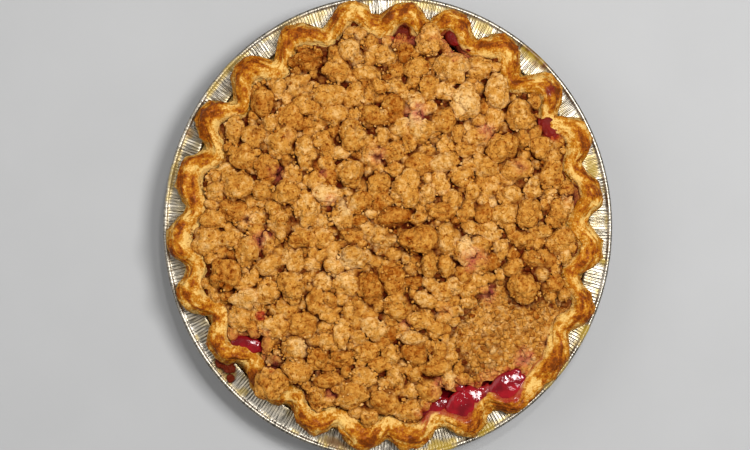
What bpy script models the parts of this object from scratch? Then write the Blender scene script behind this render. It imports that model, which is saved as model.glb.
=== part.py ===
"""A cherry pie with a crumb topping, baked in its foil tin.

Everything is in metres, +Z up, with the origin under the middle of the tin's floor. Angles go
clockwise from the far side (+Y), as the hours do on a clock face. Radii are those of a round tin.
Handling has squeezed this one a little out of round, so every piece takes the same oval.
"""

import math
import random

import bmesh
import bpy
from mathutils import Vector
from mathutils.geometry import delaunay_2d_cdt

MM = 0.001
GAP = 0.3 * MM
OVAL = Vector((0.984, 1.016, 1.0))

# The foil tin, a nine-inch one
TIN_RADIUS = 122.5 * MM
TIN_WALL_TOP_RADIUS = 110.2 * MM
TIN_FLOOR_RADIUS = 93.5 * MM
TIN_FLANGE_HEIGHT = 30.5 * MM
FOIL = 0.5 * MM
BEAD_RADIUS = 1.3 * MM
BEAD_DROP = 0.4 * BEAD_RADIUS
BEAD_WRAP = 150
BEAD_SIDES = 7
TIN_STEPS = 56

# The pastry: a floor and a wall inside the tin, and a rope of dough fluted round the rim
PASTRY_FLOOR = 4.0 * MM
PASTRY_INNER_FLOOR_RADIUS = 89.0 * MM
ROPE_HEIGHT = 13.5 * MM
ROPE_HEIGHT_SPREAD = 0.9 * MM
ROPE_SIDES = 8
ROPE_INNER_FOOT = math.radians(205)
ROPE_OUTER_FOOT = math.radians(-30)
ROPE_FOOT = -math.sin(ROPE_OUTER_FOOT)
LOWEST_SHARE = 0.04
NOTCH_THICKNESS = 12.0 * MM
NOTCH_DIP = 2.0 * MM
FLUTE_FULLNESS = 2.0
BAY_FULLNESS = 1.5
STATIONS_PER_FLUTE = 6

# Each press of the thumb: its clock angle in degrees, how far out the dough was pushed, how
# thick the rope is left there, and how far out the notch after it reaches, in millimetres.
FLUTES = (
    (5, 118.6, 13.0, 110.3),
    (18, 118.3, 12.0, 110.6),
    (34, 119.2, 14.0, 107.0),
    (50, 119.5, 13.5, 108.7),
    (65, 120.2, 15.0, 110.0),
    (81, 117.8, 14.0, 107.6),
    (96, 116.2, 14.0, 107.2),
    (112, 119.5, 12.5, 112.5),
    (127, 120.3, 14.5, 118.8),
    (143, 120.3, 11.0, 111.0),
    (157, 117.8, 10.5, 108.7),
    (173, 117.0, 14.0, 109.6),
    (187, 117.9, 14.0, 109.0),
    (202.5, 116.3, 14.0, 107.6),
    (218, 112.6, 13.0, 106.6),
    (235, 115.8, 12.5, 107.4),
    (251.5, 119.0, 14.0, 111.2),
    (266, 120.4, 15.0, 110.0),
    (284.5, 117.2, 14.5, 106.0),
    (300.5, 119.6, 15.0, 106.6),
    (316.5, 117.5, 14.0, 106.6),
    (333.5, 118.0, 12.0, 110.4),
    (350, 119.4, 12.0, 110.2),
)

# The cherry filling, level under the crumbs, that wells up in some bays of the rim
FILLING_TOP = 34.0 * MM
FILLING_CLEARANCE = 0.5 * GAP
BAY_STEEPNESS = 3.0

# Each bay where it shows: its clock angle and half its width in degrees, how far the crumbs
# are drawn back from the rim there, and how high the filling stands, both in millimetres.
BAYS = (
    (4.5, 4.5, 6.0, 37.0),
    (20.0, 5.0, 6.5, 38.5),
    (143.0, 7.0, 10.0, 40.0),
    (158.0, 8.5, 15.0, 40.0),
    (231.0, 5.5, 10.0, 40.0),
)

# The crumb topping: one heap of streusel, with its largest lumps on it
CRUMB_EDGE_TOP = 40.5 * MM
CRUMB_CENTRE_TOP = 48.5 * MM
CRUMB_DOME_RADIUS = 104.0 * MM
CRUMB_SPACING = 7.4 * MM
CRUMB_RIM_MARGIN = 4.5 * MM
CRUMB_JITTER = 0.22
CRUMB_BUMP = 2.6 * MM
CRUMB_DIP = 1.4 * MM
CRUMB_UNEVENNESS = 0.4

# Each large lump: clock angle in degrees, then its distance from the middle, its width (X)
# and its length (Y) in millimetres.
LUMPS = (
    (13, 99, 15, 16),
    (23, 90, 18, 18),
    (33, 76, 16, 19),
    (40, 92, 14, 19),
    (51, 92, 17, 17),
    (17, 76, 12, 15),
    (3, 62, 13, 13),
    (339, 50, 18, 17),
    (325, 34, 15, 15),
    (347, 22, 13, 15),
    (27, 22, 15, 21),
    (85, 75, 15, 17),
    (113, 80, 17, 17),
    (197, 33, 16, 17),
    (239, 59, 18, 17),
    (254, 91, 17, 19),
    (217.5, 101.5, 19, 19),
    (282, 45, 15, 19),
    (296, 72, 14, 15),
    (285, 84, 17, 17),
    (112, 19, 19, 18),
    (56, 74, 16, 17),
    (222, 68, 14, 15),
    (341, 86, 15, 15),
)
LUMP_SINK = 0.12
LUMP_FLATNESS = 0.82
LUMP_COVER = 0.44
RIM_LUMP_RADIUS = 84.0 * MM
RIM_LUMP_LIFT = 3.5 * MM
LUMP_SUBDIVISIONS = 2

# Points closer than this are one, and edges sharper than this stay sharp
WELD = 0.01 * MM
SHARP_ANGLE = math.radians(50)

# Each finish: its screen colour, its roughness and how metallic it is
FINISHES = {
    "foil": ((200, 202, 204), 0.28, 1.0),
    "pastry": ((198, 140, 66), 0.55, 0.0),
    "cherry": ((150, 18, 28), 0.15, 0.0),
    "streusel": ((190, 130, 54), 0.9, 0.0),
}


def remove_everything():
    """Empty the scene."""
    for thing in list(bpy.data.objects):
        bpy.data.objects.remove(thing, do_unlink=True)


def new_collection(name):
    """A collection linked to the scene."""
    collection = bpy.data.collections.new(name)
    bpy.context.scene.collection.children.link(collection)
    return collection


def linear(channel):
    """One channel of a screen colour, 0 to 255, as linear light."""
    value = channel / 255
    return value / 12.92 if value <= 0.04045 else ((value + 0.055) / 1.055) ** 2.4


def make_material(name):
    """The Principled material of a finish."""
    colour, roughness, metallic = FINISHES[name]
    material = bpy.data.materials.new(name)
    material.use_nodes = True
    shader = material.node_tree.nodes["Principled BSDF"]
    shader.inputs["Base Color"].default_value = [linear(c) for c in colour] + [1.0]
    shader.inputs["Roughness"].default_value = roughness
    shader.inputs["Metallic"].default_value = metallic
    return material


def add_object(name, mesh, collection, material):
    """A named object with its mesh, shaded smooth but for its sharp edges."""
    thing = bpy.data.objects.new(name, mesh)
    collection.objects.link(thing)
    mesh.materials.append(material)
    mesh.shade_smooth()
    mesh.set_sharp_from_angle(angle=SHARP_ANGLE)
    return thing


def place(clock, radius, z):
    """The point at a clock angle in radians, a radius of the round tin and a height."""
    return Vector((radius * math.sin(clock), radius * math.cos(clock), z)) * OVAL


def mix(low, high, part):
    """The value a part of the way from low to high."""
    return low + part * (high - low)


def apart(clock, other):
    """How far one clock angle lies past another, in degrees from -180 to 180."""
    return (clock - other + 180) % 360 - 180


def tin_profile():
    """Half the section of the tin, from the middle of its floor out, round the bead and back."""
    bead = Vector((TIN_RADIUS - BEAD_RADIUS, TIN_FLANGE_HEIGHT - BEAD_DROP))
    points = [
        (0, FOIL),
        (TIN_FLOOR_RADIUS - FOIL, FOIL),
        (TIN_WALL_TOP_RADIUS - FOIL, TIN_FLANGE_HEIGHT - FOIL),
        (TIN_WALL_TOP_RADIUS, TIN_FLANGE_HEIGHT),
    ]
    for side in range(BEAD_SIDES):
        angle = math.radians(mix(BEAD_WRAP, -BEAD_WRAP, side / (BEAD_SIDES - 1)))
        points.append((bead.x + BEAD_RADIUS * math.cos(angle), bead.y + BEAD_RADIUS * math.sin(angle)))
    points += [
        (TIN_WALL_TOP_RADIUS + FOIL, TIN_FLANGE_HEIGHT - FOIL),
        (TIN_FLOOR_RADIUS, 0),
        (0, 0),
    ]
    return points


def make_tin(collection, material):
    """The foil tin, turned from its profile."""
    mesh = bpy.data.meshes.new("pie_tin")
    points = tin_profile()
    edges = [(i, i + 1) for i in range(len(points) - 1)]
    mesh.from_pydata([(radius, 0, z) for radius, z in points], edges, [])
    tin = add_object("pie_tin", mesh, collection, material)
    tin.scale = OVAL
    screw = tin.modifiers.new("Turn", "SCREW")
    screw.steps = TIN_STEPS
    screw.render_steps = TIN_STEPS
    screw.use_merge_vertices = True
    screw.merge_threshold = WELD
    screw.use_smooth_shade = True
    return tin


def rope_heights():
    """The height of the rope at each flute, a little uneven."""
    dice = random.Random(7)
    return [ROPE_HEIGHT + dice.uniform(-1, 1) * ROPE_HEIGHT_SPREAD for _ in FLUTES]


ROPE_HEIGHTS = rope_heights()


def rope_at(phase):
    """Where the rope runs at a phase counted in flutes.

    Gives its clock angle in radians, the radius of its middle, half its width and its height.
    """
    number = int(phase)
    part = phase - number
    here = FLUTES[number % len(FLUTES)]
    there = FLUTES[(number + 1) % len(FLUTES)]
    clock = math.radians(here[0] + part * ((there[0] - here[0]) % 360))
    inward = (1 - math.cos(2 * math.pi * part)) / 2
    tip = mix(here[1], there[1], part) * MM
    thickness = mix(here[2], there[2], part) * MM
    notch = here[3] * MM
    outer = mix(tip, notch, inward ** FLUTE_FULLNESS)
    inner = mix(tip - thickness, notch - NOTCH_THICKNESS, 1 - (1 - inward) ** BAY_FULLNESS)
    heights = ROPE_HEIGHTS[number % len(FLUTES)], ROPE_HEIGHTS[(number + 1) % len(FLUTES)]
    height = mix(*heights, part) - NOTCH_DIP * inward ** FLUTE_FULLNESS
    return clock, (outer + inner) / 2, (outer - inner) / 2, height


def stations():
    """The rope at every station round the rim."""
    count = len(FLUTES) * STATIONS_PER_FLUTE
    return [rope_at(station / STATIONS_PER_FLUTE) for station in range(count)]


def rope_point(station, angle):
    """Radius and height of the point at an angle round the rope's section."""
    _, middle, half_width, height = station
    share = (math.sin(angle) + ROPE_FOOT) / (1 + ROPE_FOOT)
    radius = middle + half_width * math.cos(angle)
    return radius, TIN_FLANGE_HEIGHT + GAP + max(share, LOWEST_SHARE) * height


def rope_inner_radius(station, z):
    """The radius of the rope's inner side, with the gap off it, at a height."""
    _, middle, half_width, height = station
    share = (z - TIN_FLANGE_HEIGHT - GAP) / height
    rise = min(max(share * (1 + ROPE_FOOT) - ROPE_FOOT, 0.0), 1.0)
    return middle - half_width * math.sqrt(1 - rise ** 2) - GAP


def crust_section(station):
    """The pastry's section: floor and wall inside, over the rope, and down against the tin."""
    points = [(0, FOIL + GAP + PASTRY_FLOOR), (PASTRY_INNER_FLOOR_RADIUS, FOIL + GAP + PASTRY_FLOOR)]
    for side in range(ROPE_SIDES):
        angle = mix(ROPE_INNER_FOOT, ROPE_OUTER_FOOT, side / (ROPE_SIDES - 1))
        points.append(rope_point(station, angle))
    outer_foot = points[-1]
    points[-1] = (outer_foot[0], TIN_FLANGE_HEIGHT + GAP)
    wall_top = min(TIN_WALL_TOP_RADIUS - FOIL - 2 * GAP, outer_foot[0] - GAP)
    points.append((wall_top, TIN_FLANGE_HEIGHT + GAP))
    points.append((TIN_FLOOR_RADIUS - FOIL - 2 * GAP, FOIL + GAP))
    points.append((0, FOIL + GAP))
    return points


def drawn_back(clock):
    """How far the crumbs stand back from the rim, and how high the filling wells up there."""
    depth = 0.0
    top = FILLING_TOP
    for bay, half_width, deepest, highest in BAYS:
        share = 1 - (apart(math.degrees(clock), bay) / half_width) ** 2
        if share > 0:
            depth = max(depth, deepest * MM * share)
            top = max(top, mix(FILLING_TOP, highest * MM, min(1.0, BAY_STEEPNESS * share)))
    return depth, top


def filling_section(station):
    """The filling's section: out along its floor, up inside the pastry and back over its lip."""
    clock = station[0]
    depth, lip_top = drawn_back(clock)
    bulge_z = min(lip_top, rope_point(station, math.pi)[1])
    outer = rope_inner_radius(station, bulge_z)
    lip_outer = rope_inner_radius(station, lip_top) - GAP
    lip_inner = min(outer, rope_inner_radius(station, 0) - depth + GAP)
    if lip_top - FILLING_TOP < GAP:
        lip_top = FILLING_TOP
        bulge_z = FILLING_TOP
        lip_inner = lip_outer = outer - FILLING_CLEARANCE
    foot_radius, foot_z = rope_point(station, ROPE_INNER_FOOT)
    floor = FOIL + GAP + PASTRY_FLOOR + GAP
    return [
        (0, floor),
        (PASTRY_INNER_FLOOR_RADIUS - 2 * GAP, floor),
        (foot_radius - GAP - FILLING_CLEARANCE, foot_z),
        (outer - FILLING_CLEARANCE, bulge_z),
        (lip_outer, lip_top),
        (lip_inner, lip_top),
        (lip_inner, FILLING_TOP),
        (0, FILLING_TOP),
    ]


def loft(name, section, collection, material):
    """A closed body through the section at every station round the pie.

    Its panels twist, so each is split along the same diagonal in every piece: neighbours that
    run side by side then keep their gap all over.
    """
    shape = bmesh.new()
    rings = []
    for station in stations():
        rings.append([shape.verts.new(place(station[0], *point)) for point in section(station)])
    for ring, following in zip(rings, rings[1:] + rings[:1]):
        for i in range(len(ring) - 1):
            shape.faces.new((ring[i], ring[i + 1], following[i + 1]))
            shape.faces.new((ring[i], following[i + 1], following[i]))
    bmesh.ops.remove_doubles(shape, verts=shape.verts, dist=WELD)
    bmesh.ops.recalc_face_normals(shape, faces=shape.faces)
    mesh = bpy.data.meshes.new(name)
    shape.to_mesh(mesh)
    shape.free()
    return add_object(name, mesh, collection, material)


def crumb_outline():
    """The edge of the crumb heap, drawn back where the filling shows."""
    outline = []
    for station in stations():
        depth, _ = drawn_back(station[0])
        outline.append(place(station[0], rope_inner_radius(station, 0) - depth - GAP, 0))
    return outline


def crumb_dome(point):
    """The height of the heap's even dome over a point."""
    round_point = Vector((point[0] / OVAL.x, point[1] / OVAL.y))
    share = 1 - (round_point.length / CRUMB_DOME_RADIUS) ** 2
    return mix(CRUMB_EDGE_TOP, CRUMB_CENTRE_TOP, max(share, 0.0))


def inside_outline(point, outline):
    """Whether a point lies within the outline and well clear of it."""
    nearest = min(outline, key=lambda edge: (edge - point).length)
    return point.length < nearest.length and (nearest - point).length > CRUMB_RIM_MARGIN


def lump_spot(lump):
    """The middle of a large lump on the plan of the pie, and its size."""
    clock, distance, width, length = lump
    spot = place(math.radians(clock), distance * MM, 0)
    size = Vector((width, length, LUMP_FLATNESS * min(width, length))) * MM
    return spot, size


def under_lump(point):
    """Whether a point of the heap is hidden well inside a large lump's outline."""
    for spot, size in map(lump_spot, LUMPS):
        if (point - spot).length < LUMP_COVER * min(size.x, size.y):
            return True
    return False


def crumb_points(outline):
    """Crumb tops and the dips between them, on a jittered triangular lattice."""
    dice = random.Random(11)
    reach = int(TIN_RADIUS / CRUMB_SPACING) + 2
    points = []
    for row in range(-reach, reach + 1):
        for column in range(-2 * reach, 2 * reach + 1):
            jitter = Vector((dice.uniform(-1, 1), dice.uniform(-1, 1), 0)) * CRUMB_JITTER
            size = dice.uniform(1 - CRUMB_UNEVENNESS, 1 + CRUMB_UNEVENNESS)
            lattice = Vector((column + row / 2, row * math.sqrt(3) / 2, 0))
            point = (lattice + jitter) * CRUMB_SPACING
            if under_lump(point) or not inside_outline(point, outline):
                continue
            is_top = (column - row) % 3 == 0
            point.z = crumb_dome(point) + size * (CRUMB_BUMP if is_top else -CRUMB_DIP)
            points.append(point)
    return points


def make_crumb_heap(collection, material):
    """The streusel as one uneven heap on the filling."""
    outline = crumb_outline()
    points = outline + crumb_points(outline)
    for edge in outline:
        edge.z = crumb_dome(edge)
    ring = list(range(len(outline)))
    edges = list(zip(ring, ring[1:] + ring[:1]))
    flat = [point.to_2d() for point in points]
    triangles = delaunay_2d_cdt(flat, edges, [], 1, WELD)[2]
    shape = bmesh.new()
    verts = [shape.verts.new(point) for point in points]
    for triangle in triangles:
        shape.faces.new([verts[i] for i in triangle])
    feet = [shape.verts.new((edge.x, edge.y, FILLING_TOP + GAP)) for edge in outline]
    for first, second in edges:
        shape.faces.new((verts[first], verts[second], feet[second], feet[first]))
    shape.faces.new(feet)
    bmesh.ops.recalc_face_normals(shape, faces=shape.faces)
    mesh = bpy.data.meshes.new("crumb_topping")
    shape.to_mesh(mesh)
    shape.free()
    return add_object("crumb_topping", mesh, collection, material)


def make_cutter(source, collection):
    """A copy of a piece that stands the gap proud of it all over, to cut others back."""
    cutter = bpy.data.objects.new(source.name + "_cutter", source.data.copy())
    collection.objects.link(cutter)
    cutter.hide_render = True
    cutter.display_type = "WIRE"
    swell = cutter.modifiers.new("Swell", "DISPLACE")
    swell.strength = GAP
    swell.mid_level = 0.0
    return cutter


def make_lump(number, lump, cutters, collection, material):
    """One of the largest lumps of streusel, sunk into the heap and cut back to clear it."""
    spot, size = lump_spot(lump)
    distance = lump[1] * MM
    bpy.ops.mesh.primitive_ico_sphere_add(subdivisions=LUMP_SUBDIVISIONS, radius=0.5)
    lump_object = bpy.context.object
    lump_object.name = f"crumb_lump_{number:02d}"
    for vertex in lump_object.data.vertices:
        vertex.co = vertex.co * size
    spot.z = crumb_dome(spot) + LUMP_SINK * size.z
    if distance > RIM_LUMP_RADIUS:
        spot.z += RIM_LUMP_LIFT * (distance - RIM_LUMP_RADIUS) / (CRUMB_DOME_RADIUS - RIM_LUMP_RADIUS)
    lump_object.location = spot
    for cutter in cutters if distance > RIM_LUMP_RADIUS else cutters[:1]:
        cut = lump_object.modifiers.new("Clear of " + cutter.name, "BOOLEAN")
        cut.operation = "DIFFERENCE"
        cut.object = cutter
    for home in list(lump_object.users_collection):
        home.objects.unlink(lump_object)
    collection.objects.link(lump_object)
    lump_object.data.materials.append(material)
    lump_object.data.shade_smooth()
    return lump_object


def main():
    """Build the pie from the tin up."""
    remove_everything()
    pie = new_collection("cherry_pie")
    guides = new_collection("cutters")
    foil, pastry, cherry, streusel = map(make_material, FINISHES)
    make_tin(pie, foil)
    crust = loft("crust", crust_section, pie, pastry)
    loft("cherry_filling", filling_section, pie, cherry)
    heap = make_crumb_heap(pie, streusel)
    cutters = [make_cutter(heap, guides), make_cutter(crust, guides)]
    for number, lump in enumerate(LUMPS, 1):
        make_lump(number, lump, cutters, pie, streusel)


main()
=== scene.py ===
"""A cherry pie with a crumb topping, in its foil tin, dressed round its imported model.

Everything is in metres, +Z up. Angles go clockwise from the far side (+Y), as the hours do on a
clock face, and radii are those of a round tin: handling squeezed it a little out of round, so
every piece takes the same oval. The rim's flutes, the bays and the lumps repeat the source's.
"""

import functools
import itertools
import math
import random

import bpy
import numpy as np
from bpy.props import FloatProperty, FloatVectorProperty, IntProperty, PointerProperty
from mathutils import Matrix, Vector


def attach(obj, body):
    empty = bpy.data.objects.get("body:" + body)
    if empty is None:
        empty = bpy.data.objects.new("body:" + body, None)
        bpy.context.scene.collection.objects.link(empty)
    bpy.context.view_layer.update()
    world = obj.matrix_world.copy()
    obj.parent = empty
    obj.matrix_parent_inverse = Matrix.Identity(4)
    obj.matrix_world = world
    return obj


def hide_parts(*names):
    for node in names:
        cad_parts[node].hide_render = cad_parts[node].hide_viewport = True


bl_info = {
    "name": "Crumb Cherry Pie",
    "version": (1, 0, 0),
    "blender": (4, 5, 0),
    "location": "View3D > Sidebar > Pie",
    "description": "Bakes a crumb-topped cherry pie in a foil tin, piece by piece",
    "category": "Mesh",
}

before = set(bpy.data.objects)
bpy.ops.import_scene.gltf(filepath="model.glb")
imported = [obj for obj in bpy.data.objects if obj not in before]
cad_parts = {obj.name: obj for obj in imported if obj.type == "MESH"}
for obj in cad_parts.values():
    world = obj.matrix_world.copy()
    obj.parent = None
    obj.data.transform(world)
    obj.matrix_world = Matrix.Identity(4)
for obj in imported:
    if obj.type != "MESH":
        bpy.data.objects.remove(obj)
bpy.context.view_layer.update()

MM = 0.001
GAP = 0.3 * MM
OVAL = np.array((0.984, 1.016, 1.0))

# The tin
TIN_RADIUS = 122.5 * MM
WALL_TOP_RADIUS = 110.2 * MM
FLOOR_RADIUS = 93.5 * MM
FLANGE_HEIGHT = 30.5 * MM
FOIL = 0.5 * MM
BEAD_RADIUS = 1.3 * MM

# The rope of dough round the rim
ROPE_HEIGHT = 13.5 * MM
ROPE_HEIGHT_SPREAD = 0.9 * MM
ROPE_FOOT = 0.5
NOTCH_THICKNESS = 12.0 * MM
NOTCH_DIP = 2.0 * MM
FLUTE_FULLNESS = 2.0
BAY_FULLNESS = 1.5

# Each press of the thumb: its clock angle in degrees, how far out the dough was pushed, how
# thick it is there, and how far out the notch after it reaches, in millimetres
FLUTES = np.array((
    (5, 118.6, 13.0, 110.3), (18, 118.3, 12.0, 110.6), (34, 119.2, 14.0, 107.0), (50, 119.5, 13.5, 108.7),
    (65, 120.2, 15.0, 110.0), (81, 117.8, 14.0, 107.6), (96, 116.2, 14.0, 107.2), (112, 119.5, 12.5, 112.5),
    (127, 120.3, 14.5, 118.8), (143, 120.3, 11.0, 111.0), (157, 117.8, 10.5, 108.7), (173, 117.0, 14.0, 109.6),
    (187, 117.9, 14.0, 109.0), (202.5, 116.3, 14.0, 107.6), (218, 112.6, 13.0, 106.6), (235, 115.8, 12.5, 107.4),
    (251.5, 119.0, 14.0, 111.2), (266, 120.4, 15.0, 110.0), (284.5, 117.2, 14.5, 106.0), (300.5, 119.6, 15.0, 106.6),
    (316.5, 117.5, 14.0, 106.6), (333.5, 118.0, 12.0, 110.4), (350, 119.4, 12.0, 110.2),
))

# Each bay where the filling wells up: clock angle and half its width in degrees, how far the
# crumbs are drawn back from the rim there, and how high the filling stands, in millimetres
BAYS = (
    (4.5, 4.5, 6.0, 37.0), (20.0, 5.0, 6.5, 38.5), (143.0, 7.0, 10.0, 40.0),
    (158.0, 8.5, 15.0, 40.0), (231.0, 5.5, 10.0, 40.0),
)

# The heap of crumbs
CRUMB_EDGE_TOP = 40.5 * MM
CRUMB_CENTRE_TOP = 48.5 * MM
CRUMB_DOME_RADIUS = 104.0 * MM
FILLING_TOP = 34.0 * MM

# Each large lump: clock angle in degrees, then distance, width and length in millimetres
LUMPS = (
    (13, 99, 15, 16), (23, 90, 18, 18), (33, 76, 16, 19), (40, 92, 14, 19), (51, 92, 17, 17),
    (17, 76, 12, 15), (3, 62, 13, 13), (339, 50, 18, 17), (325, 34, 15, 15), (347, 22, 13, 15),
    (27, 22, 15, 21), (85, 75, 15, 17), (113, 80, 17, 17), (197, 33, 16, 17), (239, 59, 18, 17),
    (254, 91, 17, 19), (217.5, 101.5, 19, 19), (282, 45, 15, 19), (296, 72, 14, 15), (285, 84, 17, 17),
    (112, 19, 19, 18), (56, 74, 16, 17), (222, 68, 14, 15), (341, 86, 15, 15),
)
LUMP_TOAST = {7: 0.6, 14: 0.56, 21: 0.52, 16: 0.52, 3: 0.28, 4: 0.26, 18: 0.32, 5: 0.38, 2: 0.33}
LUMP_SINK = 0.12
LUMP_FLATNESS = 0.82
RIM_LUMP_RADIUS = 84.0 * MM
RIM_LUMP_LIFT = 3.5 * MM

# Where juice seeps through the crumbs: place and reach in millimetres, then how pink and how
# dark it has dried, from 0 to 1
SEEPS = (
    (-5.8, 37.7, 5.5, 0.8, 1.0), (15.2, 60.3, 6.5, 0.9, 0.1), (44.9, -16.8, 7.5, 0.9, 0.0),
    (53.4, -35.5, 5.5, 0.8, 0.9), (-74.3, 4.2, 5.0, 0.2, 1.0), (-67.3, -6.0, 6.0, 0.8, 0.5),
    (-58.7, 28.3, 5.5, 0.6, 0.8), (-52.5, 47.8, 3.5, 0.3, 0.7), (52.7, 51.7, 5.5, 0.8, 0.3),
    (69.8, 31.5, 5.0, 0.5, 0.9), (-30.7, 14.3, 4.0, 0.7, 0.2), (-33.8, 28.3, 3.0, 0.6, 0.2),
    (9.0, -51.1, 3.0, 0.6, 0.2), (-29.9, -89.3, 3.5, 0.6, 0.2), (-62.0, -70.0, 7.0, 0.3, 0.6),
    (97.2, 15.9, 6.0, 0.3, 1.0), (85.0, -62.0, 5.0, 0.2, 0.7), (72.7, -70.0, 6.5, 1.0, 0.3),
    (-93.0, -3.0, 5.0, 0.0, 0.45), (-71.0, 50.0, 5.0, 0.0, 0.45), (30.0, -45.0, 5.0, 0.2, 0.4),
)


# Each patch that hardly browned: place and reach in millimetres
PALE_PATCHES = ((-24, -22, 9), (15, 56, 7), (-20, 12, 6), (-2, 62, 5), (42, -10, 7), (40, 66, 6), (-46, -64, 6))

# Each pool of filling: clock angle, distance, half its length and its depth towards the middle,
# how far its outer end slants clockwise in degrees, the height of its edge and its rise above
# that at the middle, in mm, and how dark and dry it has baked, from 0 to 1
POOLS = (
    (142.5, 106.0, 9.6, 7.4, 0, 39.6, 2.6, 0.0), (155.5, 101.5, 10.5, 7.4, 0, 39.2, 2.2, 0.0),
    (165.0, 97.5, 8.5, 3.4, 10, 38.5, 2.2, 0.1), (148.5, 101.5, 4.5, 3.4, 0, 38.8, 2.0, 0.3),
    (155.0, 92.5, 2.6, 2.4, 0, 40.0, 2.0, 0.1), (231.0, 98.0, 8.2, 4.2, 40, 39.3, 2.4, 0.1),
    (20.0, 105.8, 4.8, 4.4, 0, 38.6, 2.8, 0.5), (25.0, 103.5, 4.0, 1.8, 0, 38.8, 2.2, 0.5),
    (4.5, 101.5, 5.6, 3.6, 0, 34.5, 2.0, 0.9), (59.5, 101.5, 7.0, 4.2, 0, 39.8, 2.8, 0.6),
    (229.5, 114.0, 3.4, 3.0, 0, 32.0, 3.0, 1.0), (232.0, 116.0, 2.6, 2.4, 0, 31.5, 2.2, 1.0),
    (227.0, 117.0, 2.2, 2.0, 0, 31.2, 1.6, 1.0), (236.0, 82.5, 2.2, 2.6, 0, 43.0, 2.4, 0.6),
)
POOL_SPREAD = 1.16
POOL_FLATNESS = 0.5
POOL_DROP = 6.0 * MM


def srgb(red, green, blue):
    """A screen colour, 0 to 255, as linear light."""
    def channel(value):
        value = value / 255
        return value / 12.92 if value <= 0.04045 else ((value + 0.055) / 1.055) ** 2.4
    return channel(red), channel(green), channel(blue)


def swatch(name, description, colour):
    """A colour that a user may change."""
    return FloatVectorProperty(
        name=name, description=description, subtype="COLOR", size=3, min=0, max=1, default=srgb(*colour)
    )


def length(name, description, default):
    """A length that a user may change."""
    return FloatProperty(name=name, description=description, unit="LENGTH", precision=5, default=default)


class PieFinishes(bpy.types.PropertyGroup):
    """The colours of the pie and its tin"""

    foil: swatch("Foil", "Bare aluminium", (170, 162, 148))
    dough_pale: swatch("Pale dough", "Dough that the oven hardly browned", (230, 186, 104))
    dough_gold: swatch("Golden dough", "Dough baked golden", (192, 124, 26))
    dough_brown: swatch("Brown dough", "Egg-washed crests of the rim", (152, 74, 6))
    dough_dark: swatch("Darkest dough", "Blisters that nearly burned", (108, 48, 2))
    crumb_pale: swatch("Pale crumb", "Streusel hardly browned", (236, 190, 122))
    crumb_gold: swatch("Golden crumb", "Most of the streusel", (204, 141, 56))
    crumb_brown: swatch("Toasted crumb", "Streusel baked brown", (152, 78, 8))
    # The darkest toasted crumb, also used as the painted shade at the bottoms of the crevices
    crumb_dark_and_shade: swatch("Darkest crumb", "The bottoms of the crevices", (94, 26, 1))
    cherry: swatch("Cherry juice", "Cooked cherry filling", (152, 14, 26))
    cherry_deep: swatch("Deep cherry", "Where the filling is thick", (104, 6, 16))
    juice_pink: swatch("Pink stain", "Crumb tinted by juice", (206, 102, 90))
    juice_red: swatch("Red stain", "Crumb soaked with juice", (166, 40, 26))
    juice_dark: swatch("Dark stain", "Juice baked dark", (80, 22, 12))
    caramel: swatch("Caramel", "Juice burned on to the foil", (166, 138, 44))


class PieSizes(bpy.types.PropertyGroup):
    """The sizes and numbers of the pie's crumbs and pleats"""

    pleats: IntProperty(name="Pleats", description="Pleats pressed round the tin", default=450, min=24)
    pleat_depth: length("Pleat depth", "How deep the tin's pleats are on its wall", 0.6 * MM)
    large_crumbs: IntProperty(name="Large crumbs", description="Crumbs of 10 to 16 mm", default=150, min=1)
    medium_crumbs: IntProperty(name="Medium crumbs", description="Crumbs of 6 to 10 mm", default=230, min=1)
    small_crumbs: IntProperty(name="Small crumbs", description="Crumbs of 3 to 6 mm", default=900, min=1)
    fine_crumbs: IntProperty(name="Fine crumbs", description="Crumbs of 2 to 3 mm", default=2200, min=1)
    grains: IntProperty(name="Grains", description="Loose grains of about a millimetre", default=1600, min=1)
    bed_depth: length("Bed depth", "How far the bed lies under the crumbs' level", 2.5 * MM)


class PieStage(bpy.types.PropertyGroup):
    """The floor, the light and the camera"""

    floor: swatch("Floor", "The pale table", (169, 169, 169))
    key_power: FloatProperty(name="Key light", description="Soft light from the right, in watts", default=14.0)
    fill_power: FloatProperty(name="Fill light", description="Soft light from the left, in watts", default=5.5)
    glint_power: FloatProperty(name="Glint", description="Small light that makes things gleam, in watts", default=2.6)
    sky: FloatProperty(name="Sky", description="Light from straight above", default=0.31)
    horizon: FloatProperty(name="Horizon", description="Light from the sides", default=0.22)
    camera_height: length("Camera height", "How high the camera hangs over the rim", 1.1)


# Sums ---------------------------------------------------------------------------------------


def mix(low, high, part):
    """The value a part of the way from low to high."""
    return low + part * (high - low)


def ease(low, high, value):
    """0 below low, 1 above high, and smooth between."""
    part = np.clip((value - low) / (high - low), 0, 1)
    return part * part * (3 - 2 * part)


def apart(clock, other):
    """How far one clock angle in degrees lies past another, from -180 to 180."""
    return (clock - other + 180) % 360 - 180


def place(clock, radius, z):
    """Points at clock angles in radians, radii of the round tin and heights."""
    return np.stack(np.broadcast_arrays(radius * np.sin(clock), radius * np.cos(clock), z), axis=-1) * OVAL


def polar(points):
    """The clock angle, from 0 to a full turn, and the round tin's radius of each point."""
    east, north = points[..., 0] / OVAL[0], points[..., 1] / OVAL[1]
    return np.arctan2(east, north) % (2 * math.pi), np.hypot(east, north)


def lattice(cell, seed):
    """A repeatable number from 0 to 1 for every cell of a lattice."""
    keys = (cell[..., 0] * 73856093) ^ (cell[..., 1] * 19349663) ^ (cell[..., 2] * 83492791)
    keys = (keys ^ (seed * 40503 + 977)) & 0xFFFFFFFF
    for _ in range(2):
        keys = ((keys ^ (keys >> 16)) * 0x45D9F3B) & 0xFFFFFFFF
    return (keys ^ (keys >> 16)) / 0xFFFFFFFF


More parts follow.
